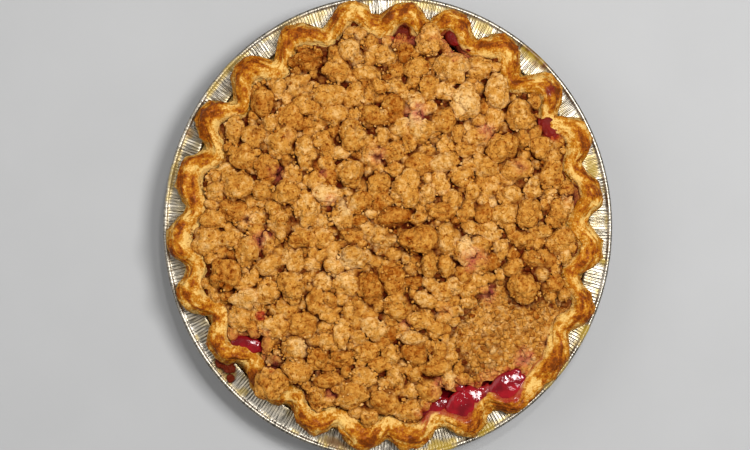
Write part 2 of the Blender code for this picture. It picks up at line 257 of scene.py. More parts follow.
def hills(points, spacing, seed=0):
    """Rolling noise from -1 to 1, with hills about that far apart."""
    spot = points / spacing
    cell = np.floor(spot).astype(np.int64)
    part = spot - cell
    part = part ** 3 * (part * (part * 6 - 15) + 10)
    total = np.zeros(len(points))
    for corner in itertools.product((0, 1), repeat=3):
        weight = np.prod(np.where(np.array(corner) == 1, part, 1 - part), axis=1)
        total += weight * lattice(cell + np.array(corner), seed)
    return 2 * total - 1


def rough(points, spacing, seed=0, layers=4):
    """Hills with ever smaller hills on them, from about -1 to 1."""
    total = np.zeros(len(points))
    for layer in range(layers):
        total += hills(points, spacing / 2 ** layer, seed + layer) / 2 ** layer
    return total / 1.4


def pebbles(points, spacing, seed=0):
    """Distances in spacings to the nearest and next of scattered seeds, and that seed's number."""
    spot = points / spacing
    cell = np.floor(spot).astype(np.int64)
    nearest = np.full(len(points), 9.0)
    following = nearest.copy()
    number = np.zeros(len(points))
    for step in itertools.product((-1, 0, 1), repeat=3):
        home = cell + np.array(step)
        middle = home + np.stack([lattice(home, seed + axis) for axis in range(3)], axis=1)
        distance = np.linalg.norm(spot - middle, axis=1)
        closer = distance < nearest
        following = np.where(closer, nearest, np.minimum(following, distance))
        number = np.where(closer, lattice(home, seed + 3), number)
        nearest = np.minimum(nearest, distance)
    return nearest, following, number


def crumb_dome(radius):
    """The height of the heap's even dome at a radius."""
    return mix(CRUMB_EDGE_TOP, CRUMB_CENTRE_TOP, np.maximum(1 - (radius / CRUMB_DOME_RADIUS) ** 2, 0))


def rope_heights():
    """The height of the rope at each flute, a little uneven."""
    dice = random.Random(7)
    return np.array([ROPE_HEIGHT + dice.uniform(-1, 1) * ROPE_HEIGHT_SPREAD for _ in FLUTES])


def rope_at(phase):
    """Where the rope runs at phases counted in flutes.

    Gives its clock angle in radians, the radius of its middle, half its width, its height, and
    how far it has swung inward, from 0 at a flute's tip to 1 in the notch.
    """
    number = np.floor(phase).astype(int)
    part = phase - number
    here = FLUTES[number % len(FLUTES)]
    there = FLUTES[(number + 1) % len(FLUTES)]
    clock = np.radians(here[..., 0] + part * ((there[..., 0] - here[..., 0]) % 360))
    inward = (1 - np.cos(2 * math.pi * part)) / 2
    tip = mix(here[..., 1], there[..., 1], part) * MM
    thickness = mix(here[..., 2], there[..., 2], part) * MM
    notch = here[..., 3] * MM
    outer = mix(tip, notch, inward ** FLUTE_FULLNESS)
    inner = mix(tip - thickness, notch - NOTCH_THICKNESS, 1 - (1 - inward) ** BAY_FULLNESS)
    middle = (outer + inner) / 2
    half_width = (outer - inner) / 2
    heights = rope_heights()
    height = mix(heights[number % len(FLUTES)], heights[(number + 1) % len(FLUTES)], part)
    height = height - NOTCH_DIP * inward ** FLUTE_FULLNESS
    return clock, middle, half_width, height, inward


ROPE_TABLE = rope_at(np.linspace(0, len(FLUTES), len(FLUTES) * 24, endpoint=False))


def rope_under(clock):
    """The rope's middle, half width and height at clock angles in radians."""
    order = np.argsort(ROPE_TABLE[0] % (2 * math.pi))
    angles = (ROPE_TABLE[0] % (2 * math.pi))[order]
    turn = 2 * math.pi
    return [np.interp(clock % turn, angles, column[order], period=turn) for column in ROPE_TABLE[1:4]]


def heap_edge(clock):
    """The radius where the heap of crumbs ends, drawn back where the filling shows."""
    middle, half_width, _ = rope_under(clock)
    depth = np.zeros_like(middle)
    for bay, half, deepest, _ in BAYS:
        share = 1 - (apart(np.degrees(clock), bay) / half) ** 2
        depth = np.maximum(depth, deepest * MM * share)
    return middle - 0.9 * half_width - depth


def seepage(points):
    """How pink and how dark juice has stained each point, from 0 to 1."""
    pink = np.zeros(len(points))
    dark = np.zeros(len(points))
    wander = 1 + 0.45 * rough(points, 4 * MM, 61, 3)
    for east, north, reach, redness, darkness in SEEPS:
        away = np.hypot(points[:, 0] - east * MM, points[:, 1] - north * MM) / (reach * MM) / wander
        pink = np.maximum(pink, 0.65 * redness * (1 - ease(0.3, 1.2, away)))
        dark = np.maximum(dark, darkness * (1 - ease(0.1, 0.6, away)))
    clock, radius = polar(points)
    for bay, half, deepest, _ in BAYS:
        sideways = apart(np.degrees(clock), bay) / (half + 3)
        inward = (heap_edge(clock) - radius) / (6 * MM)
        away = np.hypot(sideways, np.maximum(inward, 0)) / wander
        pink = np.maximum(pink, 0.4 * (1 - ease(0.4, 1.1, away)))
    return pink, dark


def from_pools(points):
    """How far each point lies from the nearest pool's middle, where its shore is at 1."""
    nearest = np.full(len(points), 9.0)
    wander = 1 + 0.25 * rough(points * (1, 1, 0), 3.5 * MM, 63, 3)
    for clock_angle, distance, wide, deep, slant, _, _, _ in POOLS:
        middle = math.radians(clock_angle)
        offset = points - place(middle, distance * MM, 0.0)
        turn = middle - math.radians(slant)
        sideways = offset[:, 0] * math.cos(turn) - offset[:, 1] * math.sin(turn)
        inward = offset[:, 0] * math.sin(turn) + offset[:, 1] * math.cos(turn)
        away = np.hypot(sideways / (wide * MM), inward / (deep * MM)) / wander
        nearest = np.minimum(nearest, away)
    return nearest


def paleness(points):
    """Where the crumbs hardly browned, from 0 to 1."""
    share = np.zeros(len(points))
    wander = 1 + 0.4 * rough(points, 5 * MM, 65, 3)
    for east, north, reach in PALE_PATCHES:
        away = np.hypot(points[:, 0] - east * MM, points[:, 1] - north * MM) / (reach * MM) / wander
        share = np.maximum(share, 1 - ease(0.5, 1.1, away))
    return share


def pooled(points):
    """Where the pools of filling lie open, from 0 outside to 1 inside."""
    return 1 - ease(0.66, 1.0, from_pools(points))


# Meshes --------------------------------------------------------------------------------------


def deselect():
    """Let go of everything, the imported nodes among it."""
    bpy.ops.object.select_all(action="DESELECT")


def coordinates(thing):
    """The vertices of a mesh object as an array of points."""
    flat = np.empty(len(thing.data.vertices) * 3)
    thing.data.vertices.foreach_get("co", flat)
    return flat.reshape(-1, 3)


def reshape(thing, points):
    """Move the vertices of a mesh object."""
    thing.data.vertices.foreach_set("co", points.astype(np.float32).ravel())
    thing.data.update()


def normals(thing):
    """The direction in which each vertex faces."""
    flat = np.empty(len(thing.data.vertices) * 3)
    thing.data.vertex_normals.foreach_get("vector", flat)
    return flat.reshape(-1, 3)


def paint(thing, name, values):
    """Keep a number at each vertex, for the materials."""
    layer = thing.data.attributes.new(name, "FLOAT", "POINT")
    layer.data.foreach_set("value", np.clip(values, 0, 1).astype(np.float32))


def finish_piece(thing, name, material, replaced=()):
    """Name a piece, shade it smooth, give it its finish and let it ride on the pie."""
    thing.name = name
    thing.data.name = name
    thing.data.materials.clear()
    thing.data.materials.append(material)
    thing.data.shade_smooth()
    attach(thing, "root")
    if replaced:
        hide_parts(*replaced)
    return thing


def apply_modifiers(thing):
    """Apply every modifier of the active piece."""
    bpy.context.view_layer.objects.active = thing
    for modifier in list(thing.modifiers):
        bpy.ops.object.modifier_apply(modifier=modifier.name)


def new_mesh_object(name, vertices, faces):
    """An object made of a few vertices and faces, or of many copies of them."""
    mesh = bpy.data.meshes.new(name)
    mesh.from_pydata(vertices, [], faces)
    thing = bpy.data.objects.new(name, mesh)
    bpy.context.scene.collection.objects.link(thing)
    return thing


# Materials -----------------------------------------------------------------------------------

# Butter and egg wash reflect a warmer light than falls on them
WARM_GLOSS = (1.0, 0.78, 0.5, 1.0)



def add_node(tree, kind, inputs=None, **settings):
    """A node with its settings, its input values and the links into it."""
    node = tree.nodes.new(kind)
    for name, value in settings.items():
        setattr(node, name, value)
    for name, value in (inputs or {}).items():
        if isinstance(value, bpy.types.NodeSocket):
            tree.links.new(value, node.inputs[name])
        else:
            node.inputs[name].default_value = value
    return node


def maths(tree, operation, first, second=0.0, third=0.0, clamp=False):
    """The result of a sum on two or three values."""
    node = add_node(tree, "ShaderNodeMath", {0: first, 1: second, 2: third}, operation=operation)
    node.use_clamp = clamp
    return node.outputs[0]


def blend(tree, share, first, second):
    """A colour between two, by a share."""
    inputs = {"Factor": share}
    node = add_node(tree, "ShaderNodeMix", inputs, data_type="RGBA")
    for socket, colour in ((node.inputs[6], first), (node.inputs[7], second)):
        if isinstance(colour, bpy.types.NodeSocket):
            tree.links.new(colour, socket)
        else:
            socket.default_value = (*colour, 1)
    return node.outputs[2]


def span(tree, value, low, high, to_low=0.0, to_high=1.0):
    """A value carried from one range into another, and held there."""
    inputs = {"Value": value, "From Min": low, "From Max": high, "To Min": to_low, "To Max": to_high}
    return add_node(tree, "ShaderNodeMapRange", inputs).outputs["Result"]


def noise(tree, vector, spacing, detail=3.0, roughness=0.55):
    """Noise with features about that far apart, from 0 to 1."""
    inputs = {"Vector": vector, "Scale": 1 / spacing, "Detail": detail, "Roughness": roughness}
    return add_node(tree, "ShaderNodeTexNoise", inputs).outputs["Fac"]


def attribute(tree, name):
    """A number that the mesh keeps at each vertex."""
    return add_node(tree, "ShaderNodeAttribute", attribute_name=name).outputs["Fac"]


def new_group(name, inputs, outputs):
    """An empty shader node group with its sockets."""
    group = bpy.data.node_groups.new(name, "ShaderNodeTree")
    for label, kind, default in inputs:
        socket = group.interface.new_socket(label, in_out="INPUT", socket_type="NodeSocket" + kind)
        socket.default_value = default
    for label, kind in outputs:
        group.interface.new_socket(label, in_out="OUTPUT", socket_type="NodeSocket" + kind)
    return group, group.nodes.new("NodeGroupInput").outputs, group.nodes.new("NodeGroupOutput").inputs


def baked_tone_group():
    """Colour from how well done a spot is: pale, golden, brown and nearly burned."""
    steps = ("Pale", "Gold", "Brown", "Dark")
    inputs = [("Toast", "Float", 0.5)] + [(step, "Color", (1, 1, 1, 1)) for step in steps]
    group, given, out = new_group("Baked tone", inputs, [("Color", "Color")])
    colour = given["Pale"]
    for step, low, high in (("Gold", 0.1, 0.4), ("Brown", 0.42, 0.75), ("Dark", 0.78, 1.0)):
        colour = blend(group, span(group, given["Toast"], low, high), colour, given[step])
    group.links.new(colour, out["Color"])
    return group


def juice_group():
    """A baked colour stained pink and dark by juice."""
    inputs = [("Color", "Color", (1, 1, 1, 1)), ("Pink", "Float", 0.0), ("Dark", "Float", 0.0),
              ("Pink stain", "Color", (1, 1, 1, 1)), ("Dark stain", "Color", (1, 1, 1, 1))]
    group, given, out = new_group("Juice stain", inputs, [("Color", "Color")])
    colour = blend(group, given["Pink"], given["Color"], given["Pink stain"])
    colour = blend(group, given["Dark"], colour, given["Dark stain"])
    group.links.new(colour, out["Color"])
    return group


def sand_group():
    """The grain of baked crumb: its height, and a mask of its fine cracks and pits, where the streusel paints shade."""
    inputs = [("Vector", "Vector", (0, 0, 0)), ("Grain", "Float", 1.0)]
    group, given, out = new_group("Sandy grain", inputs, [("Height", "Float"), ("Crack shade", "Float")])
    finest = maths(group, "MULTIPLY", given["Grain"], 1500.0)
    fine = add_node(group, "ShaderNodeTexNoise", {"Vector": given["Vector"], "Scale": finest,
                                                  "Detail": 3.0, "Roughness": 0.65}).outputs["Fac"]
    broad = maths(group, "MULTIPLY", given["Grain"], 330.0)
    warp = add_node(group, "ShaderNodeTexNoise", {"Vector": given["Vector"], "Scale": broad, "Detail": 3.0})
    bent = add_node(group, "ShaderNodeVectorMath", {0: warp.outputs["Color"], "Scale": 2.4 * MM}, operation="SCALE")
    spot = add_node(group, "ShaderNodeVectorMath", {0: given["Vector"], 1: bent.outputs["Vector"]}, operation="ADD")
    grit = maths(group, "MULTIPLY", given["Grain"], 620.0)
    knobs = add_node(group, "ShaderNodeTexVoronoi", {"Vector": spot.outputs["Vector"], "Scale": grit})
    cells = maths(group, "MULTIPLY", given["Grain"], 300.0)
    edges = add_node(group, "ShaderNodeTexVoronoi", {"Vector": spot.outputs["Vector"], "Scale": cells},
                     feature="DISTANCE_TO_EDGE").outputs["Distance"]
    line = span(group, edges, 0.07, 0.0)
    broken = span(group, warp.outputs["Fac"], 0.5, 0.62)
    cracks = maths(group, "MULTIPLY", line, broken)
    pits = span(group, fine, 0.37, 0.27)
    cracks = maths(group, "MAXIMUM", cracks, maths(group, "MULTIPLY", pits, 0.7))
    height = maths(group, "MULTIPLY_ADD", knobs.outputs["Distance"], -0.9, fine)
    height = maths(group, "MULTIPLY_ADD", cracks, -0.8, height)
    group.links.new(height, out["Height"])
    group.links.new(cracks, out["Crack shade"])
    return group


def new_material(name):
    """A material with its tree, its Principled shader and its Object coordinates."""
    material = bpy.data.materials.new(name)
    material.use_nodes = True
    tree = material.node_tree
    shader = tree.nodes["Principled BSDF"]
    place_of = add_node(tree, "ShaderNodeTexCoord").outputs["Object"]
    return material, tree, shader, place_of


def link_inputs(tree, shader, **values):
    """Feed the shader: names use _ for a space."""
    for name, value in values.items():
        socket = shader.inputs[name.replace("_", " ")]
        if isinstance(value, bpy.types.NodeSocket):
            tree.links.new(value, socket)
        else:
            socket.default_value = value


def group_node(tree, group, **inputs):
    """A node group placed in a material."""
    node = add_node(tree, "ShaderNodeGroup", node_tree=group)
    for name, value in inputs.items():
        socket = node.inputs[name.replace("_", " ")]
        if isinstance(value, bpy.types.NodeSocket):
            tree.links.new(value, socket)
        else:
            socket.default_value = (*value, 1) if hasattr(value, "__len__") else value
    return node.outputs


def shared_group(name, build):
    """A node group, built the first time it is asked for."""
    return bpy.data.node_groups.get(name) or build()


def bump(tree, height, strength, distance):
    """A normal bent by a height."""
    inputs = {"Height": height, "Strength": strength, "Distance": distance}
    return add_node(tree, "ShaderNodeBump", inputs).outputs["Normal"]


def streusel_material():
    """Baked crumb: sandy, cracked, browner on some crumbs, darkened by painted shade in its crevices, cracks and pits,
    and stained by juice.
    """
    found = bpy.data.materials.get("Streusel")
    if found:
        return found
    finishes = bpy.context.scene.pie_finishes
    material, tree, shader, spot = new_material("Streusel")
    sand = group_node(tree, shared_group("Sandy grain", sand_group), Vector=spot)
    mottle = noise(tree, spot, 2.8 * MM, 5.0, 0.7)
    toast = maths(tree, "ADD", attribute(tree, "toast"), span(tree, mottle, 0.3, 0.7, -0.26, 0.26))
    specks = span(tree, noise(tree, spot, 1.7 * MM, 2.0, 0.5), 0.58, 0.7)
    toast = maths(tree, "MULTIPLY_ADD", specks, 0.3, toast)
    # Painted shade: the fine cracks and pits are toasted darker
    toast = maths(tree, "MULTIPLY_ADD", sand["Crack shade"], 0.3, toast)
    tone = group_node(tree, shared_group("Baked tone", baked_tone_group), Toast=toast,
                      Pale=finishes.crumb_pale, Gold=finishes.crumb_gold,
                      Brown=finishes.crumb_brown, Dark=finishes.crumb_dark_and_shade)
    # Painted shade: points deep among the crumbs blend towards the darkest crumb colour
    deep = maths(tree, "MULTIPLY", attribute(tree, "depth"), span(tree, mottle, 0.3, 0.65, 0.8, 1.15), clamp=True)
    deep = blend(tree, deep, tone["Color"], finishes.crumb_dark_and_shade)
    pink = maths(tree, "MULTIPLY", attribute(tree, "pink"), span(tree, mottle, 0.35, 0.6, 0.35, 1.0))
    stained = group_node(tree, shared_group("Juice stain", juice_group), Color=deep, Pink=pink,
                         Dark=attribute(tree, "dark"), Pink_stain=finishes.juice_pink,
                         Dark_stain=finishes.juice_dark)
    wet = attribute(tree, "wet")
    soaked = blend(tree, maths(tree, "MULTIPLY", wet, span(tree, mottle, 0.3, 0.55, 0.45, 0.95)), stained["Color"],
                   finishes.juice_red)
    normal = bump(tree, sand["Height"], 0.8, 0.8 * MM)
    roughness = maths(tree, "MULTIPLY_ADD", wet, -0.4, span(tree, mottle, 0.3, 0.7, 0.5, 0.8), clamp=True)
    link_inputs(tree, shader, Base_Color=soaked, Roughness=roughness,
                Specular_IOR_Level=0.15, Specular_Tint=WARM_GLOSS, Normal=normal)
    return material


def pastry_material():
    """Egg-washed dough: cream inside, golden down its sides and blistered brown on its crests."""
    finishes = bpy.context.scene.pie_finishes
    material, tree, shader, spot = new_material("Pastry")
    mottle = noise(tree, spot, 2.6 * MM, 5.0, 0.65)
    fine = noise(tree, spot, 0.9 * MM, 2.0, 0.6)
    toast = maths(tree, "ADD", attribute(tree, "toast"), span(tree, mottle, 0.3, 0.7, -0.32, 0.32))
    toast = maths(tree, "ADD", toast, span(tree, fine, 0.3, 0.7, -0.2, 0.2))
    tone = group_node(tree, shared_group("Baked tone", baked_tone_group), Toast=toast,
                      Pale=finishes.dough_pale, Gold=finishes.dough_gold,
                      Brown=finishes.dough_brown, Dark=finishes.dough_dark)
    stained = group_node(tree, shared_group("Juice stain", juice_group), Color=tone["Color"],
                         Pink=attribute(tree, "pink"), Dark=attribute(tree, "dark"),
                         Pink_stain=finishes.cherry, Dark_stain=finishes.juice_dark)
    normal = bump(tree, maths(tree, "ADD", mottle, fine), 0.8, 0.9 * MM)
    gloss = maths(tree, "MULTIPLY", span(tree, toast, 0.3, 0.65), 0.02)
    wet = maths(tree, "MULTIPLY", attribute(tree, "pink"), maths(tree, "SUBTRACT", 1.0, attribute(tree, "dark")))
    roughness = maths(tree, "MULTIPLY_ADD", wet, -0.25, span(tree, toast, 0.2, 0.6, 0.62, 0.42), clamp=True)
    link_inputs(tree, shader, Base_Color=stained["Color"], Roughness=roughness,
                Coat_Weight=maths(tree, "MULTIPLY_ADD", wet, 0.5, gloss), Coat_Roughness=0.16,
                Specular_IOR_Level=0.15, Specular_Tint=WARM_GLOSS, Normal=normal)
    return material


def cherry_material():
    """Glossy cooked cherry juice."""
    finishes = bpy.context.scene.pie_finishes
    material, tree, shader, spot = new_material("Cherry")
    depth = noise(tree, spot, 7.0 * MM, 3.0)
    colour = blend(tree, span(tree, depth, 0.35, 0.65), finishes.cherry, finishes.cherry_deep)
    baked = attribute(tree, "baked")
    grit = maths(tree, "MULTIPLY", baked, noise(tree, spot, 1.4 * MM, 3.0))
    ripple = maths(tree, "MULTIPLY_ADD", grit, 3.0, noise(tree, spot, 2.6 * MM, 2.0))
    colour = blend(tree, baked, colour, finishes.crumb_dark_and_shade)
    link_inputs(tree, shader, Base_Color=colour, Roughness=span(tree, baked, 0.0, 0.6, 0.07, 0.5),
                Coat_Weight=span(tree, baked, 0.0, 0.5, 0.5, 0.0), Coat_Roughness=0.05,
                Specular_IOR_Level=0.12, Normal=bump(tree, ripple, 0.5, 0.9 * MM))
    return material


def foil_material():
    """Crinkled aluminium foil with juice burned on to it, and painted shade in dark streaks along its pleats."""
    finishes = bpy.context.scene.pie_finishes
    material, tree, shader, spot = new_material("Foil")
    parts = add_node(tree, "ShaderNodeSeparateXYZ", {"Vector": spot}).outputs
    flat = add_node(tree, "ShaderNodeCombineXYZ", {"X": parts["X"], "Y": parts["Y"]}).outputs["Vector"]
    outward = add_node(tree, "ShaderNodeVectorMath", {0: flat}, operation="NORMALIZE").outputs["Vector"]
    ring = add_node(tree, "ShaderNodeVectorMath", {0: outward, "Scale": 0.115}, operation="SCALE")
    radius = add_node(tree, "ShaderNodeVectorMath", {0: flat}, operation="LENGTH").outputs["Value"]
    climb = maths(tree, "MULTIPLY_ADD", maths(tree, "ADD", radius, parts["Z"]), 0.12, 0.0)
    ring_parts = add_node(tree, "ShaderNodeSeparateXYZ", {"Vector": ring.outputs["Vector"]}).outputs
    along = add_node(tree, "ShaderNodeCombineXYZ", {"X": ring_parts["X"], "Y": ring_parts["Y"], "Z": climb})
    streaks = noise(tree, along.outputs["Vector"], 0.9 * MM, 3.0, 0.6)
    crinkle = noise(tree, spot, 3.5 * MM, 4.0, 0.6)
    stain = maths(tree, "MULTIPLY", attribute(tree, "stain"), span(tree, crinkle, 0.3, 0.5, 0.55, 1.0))
    juice = attribute(tree, "juice")
    # Painted shade: dark streaks along the pleats, weaker on the wall
    groove_shade_colour = [channel * 0.42 for channel in finishes.foil]
    groove = maths(tree, "MULTIPLY", span(tree, streaks, 0.52, 0.4), span(tree, parts["Z"], 27 * MM, 30 * MM, 0.6, 1.0))
    colour = blend(tree, groove, finishes.foil, groove_shade_colour)
    on_top = span(tree, parts["Z"], 27 * MM, 30 * MM)
    buttery = maths(tree, "MULTIPLY", span(tree, radius, 118 * MM, 111 * MM, 0.0, 0.4), span(tree, crinkle, 0.35, 0.6))
    buttery = maths(tree, "MULTIPLY", buttery, on_top)
    colour = blend(tree, maths(tree, "MAXIMUM", stain, buttery), colour, finishes.caramel)
    colour = blend(tree, juice, colour, finishes.juice_dark)
    bare = maths(tree, "SUBTRACT", 1.0, maths(tree, "MAXIMUM", maths(tree, "MULTIPLY", stain, 0.95), juice), clamp=True)
    dulled = span(tree, parts["Z"], 27 * MM, 30 * MM, 0.5, 1.0)
    height = maths(tree, "MULTIPLY_ADD", crinkle, 0.6, streaks)
    link_inputs(tree, shader, Base_Color=colour, Metallic=maths(tree, "MULTIPLY", bare, dulled),
                Roughness=span(tree, streaks, 0.3, 0.7, 0.28, 0.42), Normal=bump(tree, height, 0.5, 0.3 * MM))
    return material


# Pieces --------------------------------------------------------------------------------------


def tin_profile():
    """Half the section of the tin, from the middle of its floor out, round its bead and back."""
    bead_r, bead_z = TIN_RADIUS - BEAD_RADIUS, FLANGE_HEIGHT - 0.4 * BEAD_RADIUS
    points = [(0, FOIL), (40 * MM, FOIL), (80 * MM, FOIL)]
    wall = [(mix(FLOOR_RADIUS, WALL_TOP_RADIUS, step / 7), FLANGE_HEIGHT * step / 7) for step in range(8)]
    points += [(radius - FOIL, max(z, FOIL)) for radius, z in wall]
    points += [(WALL_TOP_RADIUS + 0.4 * MM, FLANGE_HEIGHT + 0.25 * MM)]
    points += [(mix(WALL_TOP_RADIUS, bead_r, step / 6), FLANGE_HEIGHT) for step in (1, 2, 3, 4, 5)]
    for side in range(10):
        angle = math.radians(mix(150, -150, side / 9))
        points.append((bead_r + BEAD_RADIUS * math.cos(angle), bead_z + BEAD_RADIUS * math.sin(angle)))
    points += [(mix(WALL_TOP_RADIUS, bead_r, step / 6) + FOIL / 2, FLANGE_HEIGHT - FOIL) for step in (4, 2, 0)]
    points += [(radius, z) for radius, z in reversed(wall[:-1])]
    points += [(80 * MM, 0), (0, 0)]
    return points


# Each stain on the foil: first and last clock angle in degrees, first and last radius in
# millimetres, how strong, and whether it is dark juice (1) or caramel (0)
TIN_STAINS = (
    (1, 18, 115, 121, 0.7, 0), (23, 29, 115, 121, 0.8, 0), (37, 48, 117, 123, 1.0, 1), (70, 77, 112, 119.5, 1.0, 0),
    (98, 100, 115, 122, 1.0, 0), (114.5, 121.5, 117, 123.5, 1.0, 0), (124, 136, 117, 123, 0.8, 0),
    (150, 156, 116, 122.5, 1.0, 0), (161, 172, 116, 123, 1.0, 0),
    (189, 198, 114, 121, 0.8, 1), (221, 224, 114, 120, 0.7, 0), (225, 234, 112, 120, 0.95, 1),
    (276, 291, 118, 122, 0.7, 0), (293, 296, 117, 121, 0.8, 1), (305, 321, 118, 122, 0.8, 0), (324, 346, 115, 121, 0.5, 0),
)


def shape_tin(context):
    """The foil tin, turned from its profile and pleated by the press."""
    sizes = context.scene.pie_sizes
    deselect()
    profile = tin_profile()
    vertices = [(radius, 0, z) for radius, z in profile]
    mesh = bpy.data.meshes.new("foil_tin")
    mesh.from_pydata(vertices, [(i, i + 1) for i in range(len(vertices) - 1)], [])
    tin = bpy.data.objects.new("foil_tin", mesh)
    context.scene.collection.objects.link(tin)
    screw = tin.modifiers.new("Turn", "SCREW")
    screw.steps = screw.render_steps = 4 * sizes.pleats
    screw.use_merge_vertices = True
    screw.merge_threshold = 0.001 * MM
    apply_modifiers(tin)
    points = coordinates(tin)
    clock = np.arctan2(points[:, 0], points[:, 1])
    radius = np.hypot(points[:, 0], points[:, 1])
    wall = ease(FLOOR_RADIUS - 3 * MM, FLOOR_RADIUS + 8 * MM, radius) * (1 - ease(WALL_TOP_RADIUS - MM, WALL_TOP_RADIUS + MM, radius))
    flange = ease(WALL_TOP_RADIUS - MM, WALL_TOP_RADIUS + MM, radius)
    bead = ease(TIN_RADIUS - 3.2 * MM, TIN_RADIUS - 2.2 * MM, radius)
    round_spot = place(clock, 0.115, 0)
    step = np.floor(clock / (2 * math.pi) * 4 * sizes.pleats + 0.5).astype(int) % (4 * sizes.pleats)
    dice = np.random.default_rng(3)
    heights = (np.abs(np.arange(4 * sizes.pleats) % 4 - 2) - 1) * np.repeat(dice.uniform(0.3, 1.2, sizes.pleats), 4)
    heights += dice.uniform(-0.35, 0.35, 4 * sizes.pleats)
    strength = 0.8 + 0.5 * hills(round_spot + np.outer(radius, (0, 0, 0.35)), 2.2 * MM, 5)
    pleat = heights[step] * strength * sizes.pleat_depth
    dent = 0.25 * MM * rough(place(clock, radius, points[:, 2]), 14 * MM, 8, 3)
    points[:, 2] += flange * (1 - bead) * (0.62 * pleat + dent) + bead * 0.12 * pleat
    push = wall * (pleat + dent) - bead * 0.1 * np.abs(pleat)
    points[:, 0] += push * np.sin(clock)
    points[:, 1] += push * np.cos(clock)
    spot = place(clock, radius, points[:, 2])
    reshape(tin, points * OVAL)
    stain, juice = np.zeros(len(points)), np.zeros(len(points))
    wander = rough(spot, 5 * MM, 21, 4)
    degrees = np.degrees(clock) % 360
    for first, last, inner, outer, strength, is_juice in TIN_STAINS:
        sideways = np.abs(apart(degrees, (first + last) / 2)) / ((last - first) / 2)
        across = np.abs(radius / MM - (inner + outer) / 2) / ((outer - inner) / 2)
        share = strength * (1 - ease(0.6, 1.2, np.hypot(sideways, across) + 0.55 * wander)) * (points[:, 2] > 29 * MM)
        stain = np.maximum(stain, share)
        juice = np.maximum(juice, share * is_juice * 0.9)
    groove = np.exp(-((radius - 119.6 * MM) / (0.7 * MM)) ** 2) * ease(-0.1, 0.5, wander) * (points[:, 2] > 29 * MM)
    paint(tin, "stain", np.maximum(stain, 0.75 * groove))
    paint(tin, "juice", juice * ease(-0.7, 0.1, wander))
    fix_normals(tin)
    finish_piece(tin, "foil_tin", foil_material(), ["pie_tin"])


def fix_normals(thing):
    """Turn every face of a closed piece outward."""
    deselect()
    thing.select_set(True)
    bpy.context.view_layer.objects.active = thing
    bpy.ops.object.mode_set(mode="EDIT")
    bpy.ops.mesh.select_all(action="SELECT")
    bpy.ops.mesh.normals_make_consistent(inside=False)
    bpy.ops.object.mode_set(mode="OBJECT")
    thing.select_set(False)


# Where filling has run on to the crust: clock angle, half width in degrees, then the lowest and
# highest angle round the rope's section that it covers, and how dark it is
CRUST_JUICE = (
    (143, 6.5, 88, 220, 0.0), (156, 7, 105, 220, 0.0), (166, 6, 100, 200, 0.0), (132, 4, 130, 220, 0.0),
    (59, 5, 115, 220, 0.75), (50.5, 1.2, 60, 110, 0.75), (49.5, 1.2, 140, 200, 0.9), (79, 3, 130, 220, 0.7),
    (231, 5, 140, 220, 0.1), (20, 6, 120, 220, 0.2), (4.5, 4, 140, 220, 0.5), (207, 2, 130, 220, 0.8),
    (244, 3, 130, 220, 0.7), (125.5, 1.8, 140, 215, 0.8),
)


